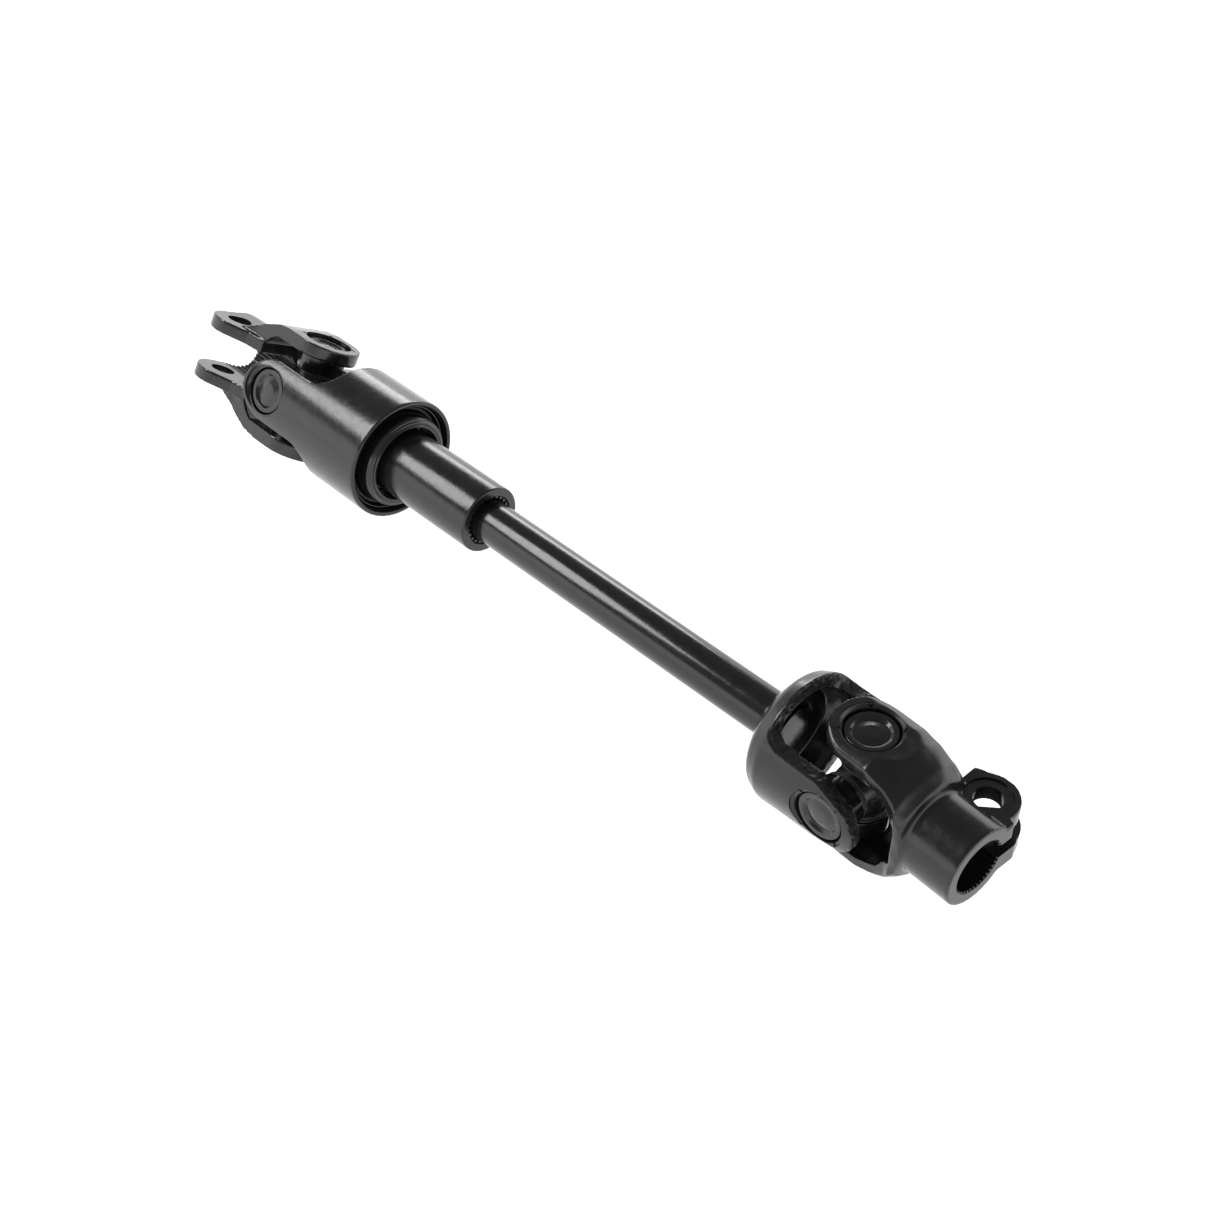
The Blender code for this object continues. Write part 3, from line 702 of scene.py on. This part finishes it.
def build_right_clamp():
    """The forged bell with two arms, the split serrated hub and its bolt ears."""
    hub_end = 41.5
    hub = 12.7
    bolt = (30.6, 14.9)
    slot = 2.5
    profile = rounded(
        [
            (hub_end, 0, 0),
            (hub_end, hub, 0),
            (24.9, hub, 1.5),
            (23.9, 15.6, 2.0),
            (20.4, 18.6, 3.0),
            (14.5, 21.2, 4.0),
            (9.0, 22.6, 4.0),
            (-13.0, 22.6, 0),
            (-13.0, 0, 0),
        ]
    )
    yoke = lathe("bell", profile, 128)
    arm = [(hub_end + 2, 21.2), (-20, 21.2), (-20, ARM_INNER), (9.0, ARM_INNER), (13.5, 14.2)]
    arm += [(16.9, 12.4), (18.4, 9.2), (20.6, 7.2), (21.4, 5.6)]
    combine(yoke, "INTERSECT", plate("arm_side", arm + [(u, -v) for u, v in reversed(arm)], -30, 30, "XZ"))
    side = [(-u, v) for u, v in arc((0, 0), 12.0, 0, 90, 20)]
    side += [(17.0, 12.0), (20.0, 12.5), (22.0, 13.5), (hub_end + 2, 13.5)]
    plan = side + [(u, -v) for u, v in reversed(side)]
    combine(yoke, "INTERSECT", plate("arm_plan", plan, -30, 30))
    edge = [(21.0, 20.5), (20.5, 0.0), (hub_end, 0.0)]
    upper = plate("upper_ear", arc(bolt, 9.0, -10, 112, 20) + edge + [(hub_end, 13.0)], 0, 8.0)
    low_edge = [(21.4, 14.0), (20.5, 0.0), (hub_end, 0.0)]
    lower = plate("lower_ear", arc(bolt, 10.2, 12, 78, 16) + low_edge + [(hub_end, 15.5)], -8.8, 0)
    combine(yoke, "UNION", upper, lower)
    soften(yoke, 0.4, 6)
    roughen(yoke, 5.0, 0.25, lambda spot, normal: 1.0 if 8.0 < spot.x < 24.0 else 0.0)
    bore = plate("bore", teeth(40, 8.25, 8.95), 10, 60, "YZ")
    inside, outside = hub_end - 0.5, hub_end + 0.6
    chamfer = lathe("bore_chamfer", [(inside, 0), (inside, 8.5), (outside, 9.6), (outside, 0)])
    cutters = [
        bore,
        chamfer,
        block("slot", (15, 0, -slot), (60, 40, slot)),
        rod("pin_bore", -30, 30, PIN_BORE, TURNS["upper"], steps=96),
        rod("bolt_hole", -30, 30, BOLT_HOLE, TURNS["upper"], (*bolt, 0)),
        rod("spot_face", 7.4, 16, 7.1, TURNS["upper"], (*bolt, 0)),
    ]
    for place in ("upper", "lower"):
        seat = rounded([(19.9, 0, 0), (19.9, 8.6, 0.2), (20.9, 9.4, 0.5), (26, 9.8, 0), (26, 0, 0)])
        cutters.append(lathe("seat", seat, 96, TURNS[place]))
    combine(yoke, "DIFFERENCE", *cutters)
    combine(yoke, "DIFFERENCE", *stakes("stake", ("upper", "lower"), (45, 135, 225, 315), 20.5, 9.2))
    yoke.name = "split_clamp_yoke"
    show(yoke, CLAMP_FRAME, "right_clamp", ["right_clamp_yoke"], FORGED_PAINT)


# ---------------------------------------------------------------- stage


def build_camera():
    """The viewpoint: above, to the right and in front of the shaft."""
    data = bpy.data.cameras.new("camera")
    data.lens = 53.38
    data.sensor_width = 36.0
    camera = bpy.data.objects.new("camera", data)
    bpy.context.scene.collection.objects.link(camera)
    right = Vector((0.69616, 0.71781, -0.00151))
    up = Vector((-0.48235, 0.46919, 0.73975))
    back = Vector((0.53160, -0.51422, 0.67284))
    turn = Matrix((right, up, back)).transposed().to_4x4()
    place = LEFT + Vector((0.448789, -0.287521, 0.373838))
    camera.matrix_world = Matrix.Translation(place) @ turn
    bpy.context.scene.camera = camera


def direction(azimuth, elevation):
    a, e = math.radians(azimuth), math.radians(elevation)
    return Vector((math.cos(a) * math.cos(e), math.sin(a) * math.cos(e), math.sin(e)))


def softbox(name, azimuth, elevation, distance, width, height, radiance):
    """A square light that faces the shaft's middle; radiance is what its reflection shows."""
    data = bpy.data.lights.new(name, "AREA")
    data.shape = "RECTANGLE"
    data.size = width
    data.size_y = height
    data.energy = radiance * width * height * math.pi
    light = bpy.data.objects.new(name, data)
    bpy.context.scene.collection.objects.link(light)
    middle = (LEFT + RIGHT) / 2
    towards = direction(azimuth, elevation)
    light.location = middle + towards * distance
    light.rotation_mode = "QUATERNION"
    light.rotation_quaternion = towards.to_track_quat("Z", "Y")
    return light


def build_stage():
    """The pale floor, the studio's graded surroundings and two softboxes."""
    floor_data = bpy.data.meshes.new("floor")
    signs = [(-1, -1), (1, -1), (1, 1), (-1, 1)]
    corners = [(u * FLOOR_REACH, v * FLOOR_REACH, FLOOR_LEVEL) for u, v in signs]
    floor_data.from_pydata(corners, [], [(0, 1, 2, 3)])
    floor = bpy.data.objects.new("floor", floor_data)
    bpy.context.scene.collection.objects.link(floor)
    material = bpy.data.materials.new("pale_floor")
    material.use_nodes = True
    shader = material.node_tree.nodes["Principled BSDF"]
    shader.inputs["Base Color"].default_value = (0.5, 0.5, 0.5, 1.0)
    shader.inputs["Roughness"].default_value = 1.0
    shader.inputs["Specular IOR Level"].default_value = 0.0
    shader.inputs["Emission Color"].default_value = (1.0, 1.0, 1.0, 1.0)
    shader.inputs["Emission Strength"].default_value = 1.0
    floor_data.materials.append(material)

    world = bpy.data.worlds.new("studio")
    bpy.context.scene.world = world
    world.use_nodes = True
    tree = world.node_tree
    place = tree.nodes.new("ShaderNodeTexCoord")
    split = tree.nodes.new("ShaderNodeSeparateXYZ")
    tree.links.new(place.outputs["Generated"], split.inputs["Vector"])
    ramp = tree.nodes.new("ShaderNodeValToRGB")
    tree.links.new(split.outputs["Z"], ramp.inputs["Fac"])
    stops = [(0.0, 1.9), (0.32, 1.9), (0.35, 0.5), (0.42, 0.5), (0.46, 0.3), (1.0, 0.22)]
    while len(ramp.color_ramp.elements) < len(stops):
        ramp.color_ramp.elements.new(0.5)
    for element, (position, value) in zip(ramp.color_ramp.elements, stops):
        element.position = position
        element.color = (value, value, value, 1.0)
    tree.links.new(ramp.outputs["Color"], tree.nodes["Background"].inputs["Color"])

    softbox("key", -146, 43, 0.9, 0.40, 0.40, 9.0)
    softbox("back", 131, 20, 1.2, 0.6, 0.3, 6.0)


build_housing()
build_left_clamp()
build_cross("left", LEFT_FRAME)
build_coupling()
build_tube()
build_shaft()
build_cup_yoke()
build_cross("right", RIGHT_FRAME)
build_right_clamp()
for corner in ("near", "far"):
    build_bearing("left", corner, LEFT_FRAME, "coupling_housing")
    build_bearing("right", corner, RIGHT_FRAME, "telescope_shaft")
for corner in ("upper", "lower"):
    build_bearing("left", corner, LEFT_FRAME, "left_clamp")
    build_bearing("right", corner, RIGHT_FRAME, "right_clamp")
build_camera()
build_stage()
bpy.context.scene.view_settings.view_transform = "Standard"
